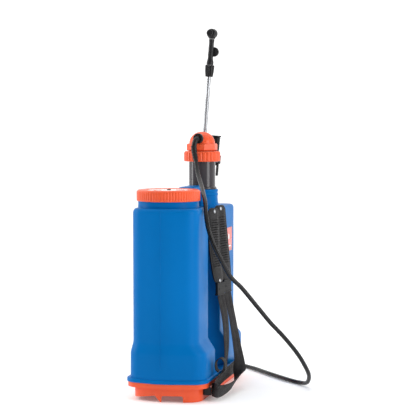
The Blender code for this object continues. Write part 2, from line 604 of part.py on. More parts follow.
def make_outlet():
    """Outlet union on the dome and the hose from it to the gun."""
    face = PUMP_X - DOME_R - 0.0015
    turned("outlet_nut", pipe(0.0122, 0.0072, -0.0100, 0.0, 0.0012), (face, PUMP_Y, OUTLET_Z), BLACK, 20, "X")
    bend = [(face, PUMP_Y, OUTLET_Z), (face - 0.0100, PUMP_Y, OUTLET_Z),
            (face - 0.0170, PUMP_Y + 0.0020, 0.5835), (face - 0.0212, PUMP_Y + 0.0045, 0.5770),
            (face - 0.0222, PUMP_Y + 0.0062, 0.5690)]
    rod("outlet_elbow", smooth_points(bend, 9), 0.0062, BLACK, 3)


HOSE_ROUTE = [
    (0.0403, -0.0086, 0.5665), (0.0375, -0.0103, 0.5540),
    (0.0280, -0.0165, 0.5330), (0.0080, -0.0258, 0.5085),
    (-0.0150, -0.0368, 0.4905), (-0.0430, -0.0490, 0.4745),
    (-0.0780, -0.0618, 0.4600), (-0.1075, -0.0730, 0.4440),
    (-0.1330, -0.0810, 0.4205), (-0.1470, -0.0890, 0.3910),
    (-0.1520, -0.1030, 0.3530), (-0.1490, -0.1210, 0.3170),
    (-0.1390, -0.1395, 0.2800), (-0.1220, -0.1624, 0.2520),
    (-0.1020, -0.1905, 0.2119), (-0.0810, -0.2186, 0.1714),
    (-0.0570, -0.2464, 0.1347), (-0.0280, -0.2712, 0.0945),
    (0.0000, -0.2849, 0.0605), (0.0300, -0.2887, 0.0335),
    (0.0620, -0.2785, 0.0118), (0.0910, -0.2565, 0.0054),
    (0.1170, -0.2273, 0.0054), (0.1927, -0.1628, 0.0054),
    (0.2539, -0.1144, 0.0054), (0.2972, -0.0713, 0.0054),
    (0.3010, -0.0330, 0.0095), (0.3110, -0.0020, 0.0420),
    (0.3030, 0.0190, 0.0880), (0.2890, 0.0310, 0.1400), (0.2775, 0.0390, 0.2000), (0.2710, 0.0428, 0.2600),
    (0.2680, 0.0421, 0.3280)]

PAD_NEAR = [(-0.049, -0.0775, 0.428, 0.93, -0.37, 0), (-0.049, -0.0785, 0.385, 0.93, -0.37, 0),
            (-0.049, -0.0805, 0.335, 0.93, -0.37, 0), (-0.048, -0.0865, 0.285, 0.94, -0.34, 0),
            (-0.0465, -0.0920, 0.2545, 0.95, -0.30, 0)]
PAD_FAR = [(0.024, -0.0745, 0.430, 0.93, -0.37, 0), (0.024, -0.0785, 0.385, 0.93, -0.37, 0),
           (0.024, -0.0835, 0.335, 0.93, -0.37, 0), (0.023, -0.0890, 0.285, 0.94, -0.34, 0),
           (0.0205, -0.0922, 0.2545, 0.95, -0.30, 0)]
WEB_NEAR = [(-0.0450, -0.0947, 0.2268, 0.95, -0.30, 0), (-0.036, -0.1030, 0.170, 0.96, -0.25, 0),
            (-0.028, -0.1045, 0.110, 0.98, -0.15, 0), (-0.030, -0.1030, 0.075, 1, 0, -0.3),
            (-0.045, -0.1015, 0.048, 0.7, 0.1, -0.8), (-0.085, -0.1005, 0.032, 0.2, 0.25, -0.95),
            (-0.125, -0.0995, 0.0230, 0, 0.15, -1), (-0.1465, -0.0985, 0.0225, 0, 0, -1)]
WEB_FAR = [(0.0205, -0.0947, 0.2268, 0.95, -0.30, 0), (0.026, -0.1065, 0.160, 0.95, -0.30, 0),
           (0.030, -0.1160, 0.100, 0.90, -0.40, 0.1), (0.026, -0.1230, 0.060, 0.75, -0.55, 0.35),
           (0.004, -0.1265, 0.034, 0.35, -0.60, 0.70), (-0.040, -0.1250, 0.0205, 0.05, -0.50, 0.87),
           (-0.100, -0.1215, 0.0175, 0, -0.40, 0.90), (-0.1480, -0.1160, 0.0205, 0, -0.20, 0.98),
           (-0.1600, -0.1105, 0.025, 0, 0, 1), (-0.1500, -0.1056, 0.030, 0, -0.10, 1),
           (-0.110, -0.1050, 0.036, 0, -0.20, 0.97), (-0.040, -0.1065, 0.042, 0, -0.15, 0.98),
           (0.060, -0.1040, 0.043, 0, 0, 1), (0.1400, -0.0995, 0.038, 0, 0, 1)]
TAIL_LOOP = [(-0.1230, -0.1135, 0.0565, 1, 0, 0), (-0.1220, -0.1240, 0.0660, 1, 0, 0),
             (-0.1210, -0.1230, 0.0830, 1, 0, 0), (-0.1200, -0.1130, 0.0920, 1, 0, 0),
             (-0.1190, -0.1020, 0.0830, 1, 0, 0), (-0.1180, -0.1015, 0.0680, 1, 0, 0),
             (-0.1170, -0.1075, 0.0600, 1, 0, 0)]


def make_harness():
    """Two padded shoulder straps, hung from the tank's top edge, with webbing to the base's hooks."""
    ribbon("shoulder_pad_near", PAD_NEAR, PAD_WIDTH, PAD_THICK, PADDING, 12)
    ribbon("shoulder_pad_far", PAD_FAR, PAD_WIDTH, PAD_THICK, PADDING, 12)
    ribbon("webbing_near", WEB_NEAR, WEB_WIDTH, WEB_THICK, WEBBING, 34)
    ribbon("webbing_far", WEB_FAR, WEB_WIDTH, WEB_THICK, WEBBING, 60)
    ribbon("webbing_tail", TAIL_LOOP, WEB_WIDTH - 0.008, WEB_THICK, WEBBING, 22)
    for name, x, y in (("buckle_near", -0.0457, -0.0932), ("buckle_far", 0.0205, -0.0933)):
        buckle = box(name, (-0.0175, -0.0042, 0.0), (0.0175, 0.0042, BUCKLE_HEIGHT), BLACK, 0.0015)
        buckle.location = buckle.location + Vector((x, y, BUCKLE_Z))
        buckle.rotation_euler = (0.0, 0.0, STRAP_TURN)
    box("strap_anchor_near", (-0.0590, -0.0640, 0.3880), (-0.0400, -0.0362, 0.4020), BLACK, 0.0015)
    box("strap_anchor_far", (0.0010, -0.0640, 0.3880), (0.0150, -0.0362, 0.4020), BLACK, 0.0015)
    for name, x in (("lower_hook_near", -0.1530), ("lower_hook_far", 0.1470)):
        box(name, (x - 0.0045, -0.0985, 0.0120), (x + 0.0045, -0.0806, 0.0296), BLACK, 0.0015)


def make_trim():
    box("sticker", (0.1000, -0.0736, 0.3130), (0.1600, -0.0733, 0.3700), LABEL)
    rod("hose", smooth_points(HOSE_ROUTE, 72), HOSE_R, RUBBER, 2)


make_tank()
make_base()
make_filler()
make_handle()
make_pump()
make_drive()
make_gun()
make_outlet()
make_harness()
make_trim()
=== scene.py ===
"""Looks of the backpack sprayer: fine surfaces, materials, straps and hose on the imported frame."""
import math

import bmesh
import bpy
import numpy as np
from mathutils import Matrix, Vector


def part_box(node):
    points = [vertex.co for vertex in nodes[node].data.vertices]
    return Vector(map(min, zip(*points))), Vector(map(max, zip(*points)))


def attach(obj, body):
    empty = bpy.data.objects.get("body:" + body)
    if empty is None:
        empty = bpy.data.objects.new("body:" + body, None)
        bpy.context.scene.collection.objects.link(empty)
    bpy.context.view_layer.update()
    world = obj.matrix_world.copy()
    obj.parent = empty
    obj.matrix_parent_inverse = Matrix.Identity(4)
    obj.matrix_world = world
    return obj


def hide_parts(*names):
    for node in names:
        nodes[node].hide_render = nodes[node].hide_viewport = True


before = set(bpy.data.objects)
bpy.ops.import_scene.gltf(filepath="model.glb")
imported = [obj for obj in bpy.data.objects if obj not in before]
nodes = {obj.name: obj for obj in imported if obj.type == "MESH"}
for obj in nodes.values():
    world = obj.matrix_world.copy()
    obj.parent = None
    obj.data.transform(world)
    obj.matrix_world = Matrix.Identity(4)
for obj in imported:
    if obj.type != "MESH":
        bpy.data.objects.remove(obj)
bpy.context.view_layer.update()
ROOT = "sprayer"
SPLIT = 0.00001                 # distance under which mesh points count as one
WAVE_PERIOD = 0.314             # length of one band of a wave texture at scale 1


# ---- materials -----------------------------------------------------------------------------------
def graph(name):
    """A new material with its node tree, its shader and its texture coordinates."""
    made = bpy.data.materials.new(name)
    made.use_nodes = True
    tree = made.node_tree
    return made, tree, tree.nodes["Principled BSDF"], tree.nodes.new("ShaderNodeTexCoord")


def noise(tree, coords, scale, detail=4.0, rough=0.5):
    """Cloudy values around one half."""
    node = tree.nodes.new("ShaderNodeTexNoise")
    node.inputs["Scale"].default_value = scale
    node.inputs["Detail"].default_value = detail
    node.inputs["Roughness"].default_value = rough
    tree.links.new(coords, node.inputs["Vector"])
    return node.outputs["Fac"]


def spread(tree, value, low, high, start=0.3, end=0.7):
    """Stretch values between start and end to reach from low to high."""
    node = tree.nodes.new("ShaderNodeMapRange")
    node.inputs["From Min"].default_value = start
    node.inputs["From Max"].default_value = end
    node.inputs["To Min"].default_value = low
    node.inputs["To Max"].default_value = high
    tree.links.new(value, node.inputs["Value"])
    return node.outputs["Result"]


def blend_colour(tree, fac, a, b):
    """Mix from colour a to colour b as fac goes from 0 to 1."""
    node = tree.nodes.new("ShaderNodeMix")
    node.data_type = "RGBA"
    tree.links.new(fac, node.inputs["Factor"])
    node.inputs["A"].default_value = (*a, 1)
    node.inputs["B"].default_value = (*b, 1)
    return node.outputs["Result"]


def bump(tree, shader, height, strength, distance):
    """Add surface relief on top of what the shader already has."""
    node = tree.nodes.new("ShaderNodeBump")
    node.inputs["Strength"].default_value = strength
    node.inputs["Distance"].default_value = distance
    tree.links.new(height, node.inputs["Height"])
    before = shader.inputs["Normal"].links
    if before:
        tree.links.new(before[0].from_socket, node.inputs["Normal"])
    tree.links.new(node.outputs["Normal"], shader.inputs["Normal"])


def plastic(name, colour, rough=(0.30, 0.42), shade=0.82, grain=900.0, depth=0.00006, coat=0.0, wave=6.0,
            gloss=0.28):
    """Moulded plastic: slow colour drift, mould grain, and gloss that varies with handling."""
    made, tree, shader, coords = graph(name)
    place = coords.outputs["Object"]
    drift = spread(tree, noise(tree, place, wave, 5.0, 0.55), 0.0, 1.0)
    dark = tuple(c * shade for c in colour)
    tree.links.new(blend_colour(tree, drift, dark, colour), shader.inputs["Base Color"])
    tree.links.new(spread(tree, noise(tree, place, wave * 5, 6.0, 0.6), *rough), shader.inputs["Roughness"])
    bump(tree, shader, noise(tree, place, grain, 2.0), 0.35, depth)
    bump(tree, shader, noise(tree, place, 22.0, 2.0), 0.2, depth * 4)
    shader.inputs["Specular IOR Level"].default_value = gloss
    shader.inputs["Coat Weight"].default_value = coat
    shader.inputs["Coat Roughness"].default_value = 0.18
    return made


def metal(name, colour, rough=(0.16, 0.30), across=500.0, along=12.0):
    """Drawn or plated metal with fine streaks along its length."""
    made, tree, shader, coords = graph(name)
    stretch = tree.nodes.new("ShaderNodeMapping")
    stretch.inputs["Scale"].default_value = (across, across, along)
    tree.links.new(coords.outputs["Object"], stretch.inputs["Vector"])
    streak = noise(tree, stretch.outputs["Vector"], 1.0, 3.0)
    shader.inputs["Metallic"].default_value = 1.0
    tree.links.new(spread(tree, streak, *rough), shader.inputs["Roughness"])
    dull = tuple(c * 0.78 for c in colour)
    cloud = spread(tree, noise(tree, coords.outputs["Object"], 30.0), 0.0, 1.0)
    tree.links.new(blend_colour(tree, cloud, dull, colour), shader.inputs["Base Color"])
    bump(tree, shader, streak, 0.1, 0.00001)
    return made


def woven(name, colour, pitch_along, pitch_across, depth=0.00035, sheen=0.25, rough=(0.62, 0.85)):
    """Woven tape: crossed bands that follow the strap's length and width, in metres on the UV map; its colour
    is painted highlight on the raised bands and painted shade between them.
    """
    made, tree, shader, coords = graph(name)
    bands = []
    for axis, pitch in (("X", pitch_across), ("Y", pitch_along)):
        wave = tree.nodes.new("ShaderNodeTexWave")
        wave.wave_type = "BANDS"
        wave.bands_direction = axis
        wave.inputs["Scale"].default_value = WAVE_PERIOD / pitch
        wave.inputs["Distortion"].default_value = 0.4
        wave.inputs["Detail Scale"].default_value = 3.0
        tree.links.new(coords.outputs["UV"], wave.inputs["Vector"])
        bands.append(wave.outputs["Fac"])
    cross = tree.nodes.new("ShaderNodeMath")
    cross.operation = "MULTIPLY"
    tree.links.new(bands[0], cross.inputs[0])
    tree.links.new(bands[1], cross.inputs[1])
    thread = cross.outputs["Value"]
    # Colour follows the relief: painted highlight on the raised threads, painted shade between them
    crest_highlight = tuple(min(1.0, c * 1.9 + 0.003) for c in colour)
    dark = tuple(c * 0.55 for c in colour)
    tree.links.new(blend_colour(tree, thread, dark, crest_highlight), shader.inputs["Base Color"])
    wear = noise(tree, coords.outputs["Object"], 60.0)
    tree.links.new(spread(tree, wear, *rough), shader.inputs["Roughness"])
    shader.inputs["Specular IOR Level"].default_value = 0.3
    shader.inputs["Sheen Weight"].default_value = sheen
    shader.inputs["Sheen Roughness"].default_value = 0.4
    bump(tree, shader, thread, 0.8, depth)
    bump(tree, shader, noise(tree, coords.outputs["Object"], 1400.0), 0.3, 0.0001)
    return made


BLUE = plastic("tank_polyethylene", (0.0, 0.150, 0.455), (0.30, 0.42), 0.88, 700.0, 0.00008, 0.0, 5.0, 0.05)
ORANGE = plastic("orange_plastic", (0.86, 0.105, 0.030), (0.32, 0.46), 0.88, 900.0, 0.00006, 0.1)
# Lid top disc and ribs: glossy coated orange, paler than the lid's sides; the paler colour is painted
# highlight
LID_TOP_PAINTED_HIGHLIGHT = plastic("orange_top_painted_highlight", (0.86, 0.150, 0.070), (0.14, 0.24), 0.92, 900.0, 0.00003, 1.0)
CHARCOAL = plastic("chamber_charcoal", (0.046, 0.041, 0.047), (0.16, 0.26), 0.80, 500.0, 0.00003, 0.2)
BLACK = plastic("black_plastic", (0.009, 0.009, 0.010), (0.28, 0.46), 0.75, 1000.0, 0.00008, 0.0, 20.0)
GRIP = plastic("grip_plastic", (0.012, 0.012, 0.013), (0.50, 0.66), 0.75, 1600.0, 0.0002, 0.0, 20.0)
WHITE = plastic("natural_plastic", (0.70, 0.70, 0.67), (0.35, 0.5), 0.92, 900.0, 0.00006, 0.0, 12.0)
RUBBER = plastic("seal_rubber", (0.018, 0.018, 0.018), (0.6, 0.78), 0.8, 1200.0, 0.0001, 0.0, 20.0)
HOSE = plastic("hose_rubber", (0.006, 0.006, 0.007), (0.20, 0.34), 0.7, 700.0, 0.00008, 0.0, 25.0)
STICKER = plastic("sticker_film", (0.80, 0.055, 0.035), (0.24, 0.34), 0.95, 400.0, 0.00002, 0.5, 8.0)
PALE = plastic("sticker_disc", (0.82, 0.80, 0.78), (0.24, 0.34), 0.95, 400.0, 0.00002, 0.5, 8.0)
STEEL = metal("drawn_steel", (0.42, 0.43, 0.45), (0.26, 0.40))
BRASS = metal("brass_bar", (0.72, 0.50, 0.20))
WEBBING = woven("strap_webbing", (0.016, 0.0145, 0.0155), 0.0016, 0.0012, 0.00035, 0.05)
PADDING = woven("pad_cover", (0.009, 0.008, 0.0088), 0.0010, 0.0010, 0.0001, 0.02, (0.34, 0.50))


# ---- mesh helpers --------------------------------------------------------------------------------
def enlist(made, body, stands_for):
    """Put a finished object in the scene, on its body, in place of its CAD nodes."""
    bpy.context.scene.collection.objects.link(made)
    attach(made, body)
    if stands_for:
        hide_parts(*stands_for)
    return made


def piece(name, bm, finish, body=ROOT, smooth=35.0, stands_for=()):
    """A finished mesh piece that rides on a body and stands for its CAD nodes."""
    bmesh.ops.recalc_face_normals(bm, faces=bm.faces)
    mesh = bpy.data.meshes.new(name)
    bm.to_mesh(mesh)
    bm.free()
    mesh.materials.append(finish)
    mesh.shade_smooth()
    mesh.set_sharp_from_angle(angle=math.radians(smooth))
    return enlist(bpy.data.objects.new(name, mesh), body, stands_for)


def rings_to_bmesh(rings, wrap=False):
    """Faces through rings of points, closed at both ends or, with wrap, back to the first ring."""
    bm = bmesh.new()
    rows = [[bm.verts.new(p) for p in ring] for ring in rings]
    pairs = list(zip(rows, rows[1:]))
    if wrap:
        pairs.append((rows[-1], rows[0]))
    for low, high in pairs:
        count = len(low)
        for i in range(count):
            j = (i + 1) % count
            bm.faces.new((low[i], low[j], high[j], high[i]))
    if not wrap:
        bm.faces.new(rows[0])
        bm.faces.new(rows[-1])
    return bm


def blocks(rows, place, bevel=0.0, segments=3):
    """Boxes from (centre, size) rows in one mesh, with rounded edges, moved to their place."""
    bm = bmesh.new()
    for centre, size in rows:
        made = bmesh.ops.create_cube(bm, size=1.0)["verts"]
        bmesh.ops.scale(bm, vec=size, verts=made)
        bmesh.ops.translate(bm, vec=centre, verts=made)
    if bevel:
        bmesh.ops.bevel(bm, geom=bm.edges[:], offset=bevel, segments=segments, affect="EDGES")
    bmesh.ops.transform(bm, matrix=place, verts=bm.verts)
    return bm


def slice_mesh(bm, point, normal):
    """Add the cut of a plane to a mesh and return what it made."""
    return bmesh.ops.bisect_plane(bm, geom=bm.verts[:] + bm.edges[:] + bm.faces[:], plane_co=point,
                                  plane_no=normal, dist=SPLIT)["geom_cut"]


def turned(profile, steps, form=None, closed=False, place=Matrix.Identity(4)):
    """Mesh of a turned form. form(angle, radius, height) may change the radius, as for flutes."""
    rings = []
    for radius, height in profile:
        ring = []
        for k in range(steps):
            angle = math.tau * k / steps
            r = form(angle, radius, height) if form else radius
            ring.append(place @ Vector((r * math.cos(angle), r * math.sin(angle), height)))
        rings.append(ring)
    return rings_to_bmesh(rings, closed)


def soften(profile, amount, steps=3):
    """The same open profile with each inner corner rounded."""
    out = [profile[0]]
    for a, b, c in zip(profile, profile[1:], profile[2:]):
        a, b, c = Vector(a), Vector(b), Vector(c)
        cut = min(amount, (a - b).length * 0.45, (c - b).length * 0.45)
        p, q = b + (a - b).normalized() * cut, b + (c - b).normalized() * cut
        for k in range(steps + 1):
            t = k / steps
            out.append(tuple(p * (1 - t) ** 2 + b * 2 * t * (1 - t) + q * t ** 2))
    out.append(profile[-1])
    return out


def curve_points(route, count):
    """Points at equal steps along a Catmull-Rom curve through the route, all columns together."""
    pts = [np.array(p, float) for p in route]
    pts = [2 * pts[0] - pts[1]] + pts + [2 * pts[-1] - pts[-2]]
    dense = []
    for a, b, c, d in zip(pts, pts[1:], pts[2:], pts[3:]):
        for t in np.linspace(0, 1, 24, endpoint=False):
            dense.append(0.5 * (2 * b + (c - a) * t + (2 * a - 5 * b + 4 * c - d) * t ** 2
                                + (3 * b - a - 3 * c + d) * t ** 3))
    dense.append(pts[-2])
    dense = np.array(dense)
    run = np.concatenate([[0], np.cumsum(np.linalg.norm(np.diff(dense[:, :3], axis=0), axis=1))])
    wanted = np.linspace(0, run[-1], count)
    return np.stack([np.interp(wanted, run, dense[:, k]) for k in range(dense.shape[1])], axis=1), run[-1]


def tube(name, points, radius, finish, stands_for=()):
    """A round cord or bar as a curve object of one open spline."""
    data = bpy.data.curves.new(name, "CURVE")
    data.dimensions = "3D"
    data.bevel_depth = radius
    data.bevel_resolution = 5
    data.use_fill_caps = True
    line = data.splines.new("POLY")
    line.points.add(len(points) - 1)
    for point, place in zip(line.points, points):
        point.co = (*place, 1.0)
    data.materials.append(finish)
    return enlist(bpy.data.objects.new(name, data), ROOT, stands_for)


def paint(finish, *names, edge=0.0005):
    """Keep CAD nodes as they are, with rounded edges and their own material."""
    for name in names:
        made = nodes[name]
        made.data.materials.clear()
        made.data.materials.append(finish)
        weld = made.modifiers.new("weld", "WELD")
        weld.merge_threshold = SPLIT
        if edge:
            soft = made.modifiers.new("bevel", "BEVEL")
            soft.width = edge
            soft.segments = 2
            soft.limit_method = "ANGLE"
            soft.angle_limit = math.radians(38)
        smooth = made.modifiers.new("normals", "WEIGHTED_NORMAL")
        smooth.keep_sharp = False
        for face in made.data.polygons:
            face.use_smooth = True


# ---- tank ----------------------------------------------------------------------------------------
# Plan outlines: x and y of each corner and the radius that rounds it.
UPPER = [(-0.186, -0.073, 0.036), (-0.078, -0.073, 0.007), (-0.062, -0.035, 0.007), (0.018, -0.035, 0.007),
         (0.034, -0.073, 0.007), (0.201, -0.073, 0.024), (0.201, 0.081, 0.030), (-0.186, 0.081, 0.036),
         (-0.207, 0.006, 0.120)]
LOWER = [(-0.189, -0.091, 0.034), (-0.084, -0.091, 0.007), (-0.064, -0.045, 0.007), (0.020, -0.045, 0.007),
         (0.040, -0.091, 0.007), (0.205, -0.091, 0.022), (0.205, 0.087, 0.030), (-0.189, 0.087, 0.036),
         (-0.2095, 0.006, 0.120)]
LIP = [(-0.191, -0.095, 0.034), (0.2105, -0.095, 0.030), (0.2105, 0.095, 0.030), (-0.191, 0.095, 0.036),
       (-0.2120, 0.006, 0.120)]
CORNER_STEPS = 9
SHOULDER_Z = 0.433
LID_X, LID_Y = -0.116, 0.011
PUMP_X, PUMP_Y = 0.095, -0.015
LID_PLACE = Matrix.Translation((LID_X, LID_Y, 0))
PUMP_PLACE = Matrix.Translation((PUMP_X, PUMP_Y, 0))
AXIS_R = 0.0002                     # radius that closes a turned form on its axis
TANK_FOOT = 0.0465
# Heights and shares of the step from the lower outline to the upper one.
BULGE_EASE = ((0.104, 0), (0.108, 0.05), (0.112, 0.2), (0.119, 0.5), (0.126, 0.8), (0.130, 0.95),
              (0.134, 1.0))
WALL_ROWS = (0.20, 0.30, 0.38)
SHOULDER_RISE, SHOULDER_INSET = 0.012, 0.0075
SHOULDER_FOOT = 0.395               # height above which the shoulder dips towards the pump
SEAM_Y, SEAM_R = 0.006, 0.0007
BAY_CENTRE, BAY_SIZE = (PUMP_X, -0.0295, 0.054), (0.044, 0.089, 0.048)


def outline(corners, z, inset=0.0):
    """Plan outline with rounded corners, the same number of points at each corner."""
    flat = [Vector(c[:2]) for c in corners]
    count = len(flat)
    moved = []
    for i in range(count):
        before = (flat[i] - flat[i - 1]).normalized()
        after = (flat[(i + 1) % count] - flat[i]).normalized()
        n1, n2 = Vector((-before.y, before.x)), Vector((-after.y, after.x))
        moved.append(flat[i] + (n1 + n2) * (inset / (1.0 + n1.dot(n2))))
    points = []
    for i in range(count):
        before = (moved[i] - moved[i - 1]).normalized()
        after = (moved[(i + 1) % count] - moved[i]).normalized()
        turn = -before.angle_signed(after)
        radius = max(corners[i][2] - inset * math.copysign(1.0, turn), 0.002)
        start = moved[i] - before * radius * math.tan(abs(turn) / 2)
        centre = start + Vector((-before.y, before.x)) * math.copysign(radius, turn)
        for k in range(CORNER_STEPS + 1):
            place = centre + Matrix.Rotation(turn * k / CORNER_STEPS, 2) @ (start - centre)
            points.append((place.x, place.y, z))
    return points


def ease(t):
    """Smooth step from 0 to 1."""
    t = min(max(t, 0.0), 1.0)
    return t * t * (3 - 2 * t)


def shoulder_drop(x):
    """How far the shoulder lies below its highest level, with a saddle under the handle."""
    far = ease((x + 0.03) / 0.08)
    saddle = max(0.0, 1.0 - ((x - 0.004) / 0.040) ** 2)
    return 0.009 * far + 0.016 * ease(saddle)


def hollow_bay(body):
    """Cut the space under the pump, in which the crank turns, up into the tank's floor."""
    mesh = bpy.data.meshes.new("bay_cutter")
    box = blocks([(BAY_CENTRE, BAY_SIZE)], Matrix.Identity(4))
    box.to_mesh(mesh)
    box.free()
    cutter = bpy.data.objects.new("bay_cutter", mesh)
    bpy.context.scene.collection.objects.link(cutter)
    difference = body.modifiers.new("bay", "BOOLEAN")
    difference.operation = "DIFFERENCE"
    difference.solver = "EXACT"
    difference.object = cutter
    bpy.context.view_layer.update()
    shown = body.evaluated_get(bpy.context.evaluated_depsgraph_get())
    hollow = bpy.data.meshes.new_from_object(shown)
    body.modifiers.remove(difference)
    body.data = hollow
    bpy.data.objects.remove(cutter)
    bpy.data.meshes.remove(mesh)


def tank_form():
    """Mesh of the tank's outside: wide foot, narrower walls, rounded shoulder with its saddle."""
    sections = []
    for z, share in ((TANK_FOOT, 0), (0.075, 0), *BULGE_EASE, *((z, 1.0) for z in WALL_ROWS)):
        low, high = outline(LOWER, z), outline(UPPER, z)
        sections.append([tuple(np.array(a) * (1 - share) + np.array(b) * share) for a, b in zip(low, high)])
    steps = 8
    for k in range(steps + 1):
        turn = math.radians(90) * k / steps
        rise, inset = SHOULDER_RISE * (1 - math.sin(turn)), SHOULDER_INSET * (1 - math.cos(turn))
        sections.append(outline(UPPER, SHOULDER_Z - rise, inset))
    bm = rings_to_bmesh(sections)
    for x in np.arange(-0.048, 0.0601, 0.004):
        slice_mesh(bm, (x, 0, 0), (1, 0, 0))
    for vert in bm.verts:
        weight = min(max((vert.co.z - SHOULDER_FOOT) / (SHOULDER_Z - SHOULDER_FOOT), 0.0), 1.0)
        vert.co.z -= shoulder_drop(vert.co.x) * weight
    return bm


def make_seams(bowl):
    """Fine mould seams down both ends of the tank, along the cut of its parting plane."""
    cut = slice_mesh(bowl, (0, SEAM_Y, 0), (0, 1, 0))
    loop = [e.co.copy() for e in cut if isinstance(e, bmesh.types.BMVert)]
    bowl.free()
    near = sorted((co for co in loop if co.x < -0.15 and 0.052 < co.z < 0.428), key=lambda co: co.z)
    far = sorted((co for co in loop if co.x > 0.15 and 0.052 < co.z < 0.418), key=lambda co: co.z)
    tube("mould_seam_near", near, SEAM_R, BLUE)
    tube("mould_seam_far", far, SEAM_R, BLUE)


def make_pump_neck():
    neck = [(0.0430, 0.415), (0.0430, 0.4235), (0.0400, 0.4275), (0.0382, 0.4330), (0.0375, 0.4420),
            (0.0372, 0.4480), (0.0386, 0.4502), (0.0386, 0.4528), (0.0372, 0.4548), (0.0372, 0.4575),
            (0.0386, 0.4597), (0.0386, 0.4622), (0.0372, 0.4640), (0.0322, 0.4640), (0.0322, 0.430)]
    piece("pump_neck", turned(soften(neck, 0.0012), 64, place=PUMP_PLACE), BLUE, smooth=40)


def make_filler_neck():
    """Neck with a fine raised thread, mostly under the lid."""
    radius, bore = 0.0690, 0.0620
    thread_low, thread_high, pitch, ridge_height = 0.4490, 0.4645, 0.0062, 0.0004

    def screw(angle, r, z):
        if r < radius - 0.0005 or not thread_low < z < thread_high:
            return r
        turns = (z - thread_low) / pitch - angle / math.tau
        return r + ridge_height * max(0.0, math.cos(turns * math.tau)) ** 2
    foot = [(0.0712, 0.418), (0.0704, 0.4290), (0.0694, 0.4345), (radius, 0.4400), (radius, 0.4660)]
    wall = [(radius, z) for z in np.arange(0.4480, 0.4655, 0.0008)]
    rim = [(radius, 0.4660), (bore, 0.4660), (bore, 0.415)]
    profile = soften(foot, 0.001)[:-1] + wall + rim
    piece("filler_neck", turned(profile, 96, screw, place=LID_PLACE), BLUE, smooth=40)


def make_tank():
    form = tank_form()
    bowl = form.copy()
    hollow_bay(piece("tank_shell", form, BLUE, smooth=42, stands_for=("tank",)))
    make_seams(bowl)
    lip = [outline(LIP, z, inset) for z, inset in ((0.0412, 0.0008), (0.0418, 0.0002), (0.0450, 0.0),
                                                   (0.0484, 0.0002), (0.0494, 0.0010), (0.0500, 0.0026))]
    hollow_bay(piece("tank_lip", rings_to_bmesh(lip), BLUE, smooth=50))
    make_pump_neck()
    make_filler_neck()
    at = Matrix.Translation((-0.1797, -0.0815, 0.0735)) @ Matrix.Rotation(math.radians(-45), 4, "Z")
    pad = blocks([((0, 0, 0), (0.014, 0.0030, 0.038))], at, bevel=0.0009)
    piece("corner_pad", pad, BLUE)


def make_lid():
    low, top, radius = 0.4476, 0.4728, 0.0725
    ribs, rib_depth = 66, 0.0013

    def knurl(angle, r, z):
        if r < radius - 0.0022 or z > top - 0.0030 or z < low + 0.0022:
            return r
        wave = abs(math.sin(angle * ribs / 2))
        return r - rib_depth * (1 - wave) ** 1.5
    profile = [(AXIS_R, top - 0.0015), (0.0480, top - 0.0015), (0.0510, top - 0.0012), (0.0545, top),
               (radius - 0.0042, top), (radius - 0.0012, top - 0.0024), (radius, top - 0.0042),
               (radius, top - 0.0080), (radius, low + 0.0030), (radius, low + 0.0014), (radius - 0.0004, low),
               (radius - 0.0028, low), (radius - 0.0030, 0.4680), (AXIS_R, 0.4680)]
    shell = turned(soften(profile, 0.0006, 2), ribs * 6, knurl, place=LID_PLACE)
    piece("lid_shell", shell, ORANGE, "lid", smooth=40, stands_for=("filler_lid",))
    # Top disc and ribs in the paler orange, which is painted highlight
    disc = [(AXIS_R, top - 0.0008), (0.0440, top - 0.0008), (0.0470, top - 0.0014)]
    piece("lid_centre", turned(soften(disc, 0.001), 72, place=LID_PLACE), LID_TOP_PAINTED_HIGHLIGHT, "lid")
    spoke_r = 0.030
    for k in range(3):
        angle = math.radians(120 * k + 20)
        x, y = LID_X + spoke_r * math.cos(angle), LID_Y + spoke_r * math.sin(angle)
        at = Matrix.Translation((x, y, top - 0.0006)) @ Matrix.Rotation(angle, 4, "Z")
        spoke = blocks([((0, 0, 0), (0.020, 0.0030, 0.0011))], at, bevel=0.0004, segments=2)
        piece(f"lid_rib_{k}", spoke, LID_TOP_PAINTED_HIGHLIGHT, "lid")


# ---- pressure chamber ----------------------------------------------------------------------------
DOME_R, DOME_FOOT, DOME_HEIGHT = 0.0308, 0.5735, 0.0280
OUTLET_Z = 0.5858
SIDEWAYS = Matrix.Rotation(math.radians(90), 4, "Y")


def make_chamber():
    wall = [(0.0317, 0.5540), (0.0317, 0.5320), (0.0316, 0.5300), (0.0316, 0.4720), (0.0322, 0.4700),
            (0.0345, 0.4690), (0.0347, 0.4672), (0.0347, 0.4643), (0.0317, 0.4643), (0.0317, 0.2040),
            (0.0310, 0.2012), (AXIS_R, 0.2012)]
    piece("chamber_wall", turned(soften(wall, 0.0008), 72, place=PUMP_PLACE), CHARCOAL, smooth=40,
          stands_for=("pressure_chamber",))


def make_ring_nut():
    low, top = 0.5305, 0.5550
    count, depth = 26, 0.0016

    def flutes(angle, r, z):
        if r < 0.0420 or z > top - 0.0024 or z < low + 0.0018:
            return r
        return r - depth * max(0.0, math.cos(angle * count)) ** 2
    nut = [(0.0330, low), (0.0424, low), (0.0434, low + 0.0012), (0.0436, low + 0.0030), (0.0436, 0.5430),
           (0.0436, top - 0.0045), (0.0426, top - 0.0022), (0.0405, top), (0.0330, top)]
    piece("ring_nut", turned(soften(nut, 0.0006), count * 8, flutes, True, PUMP_PLACE), ORANGE,
          smooth=40, stands_for=("chamber_nut",))


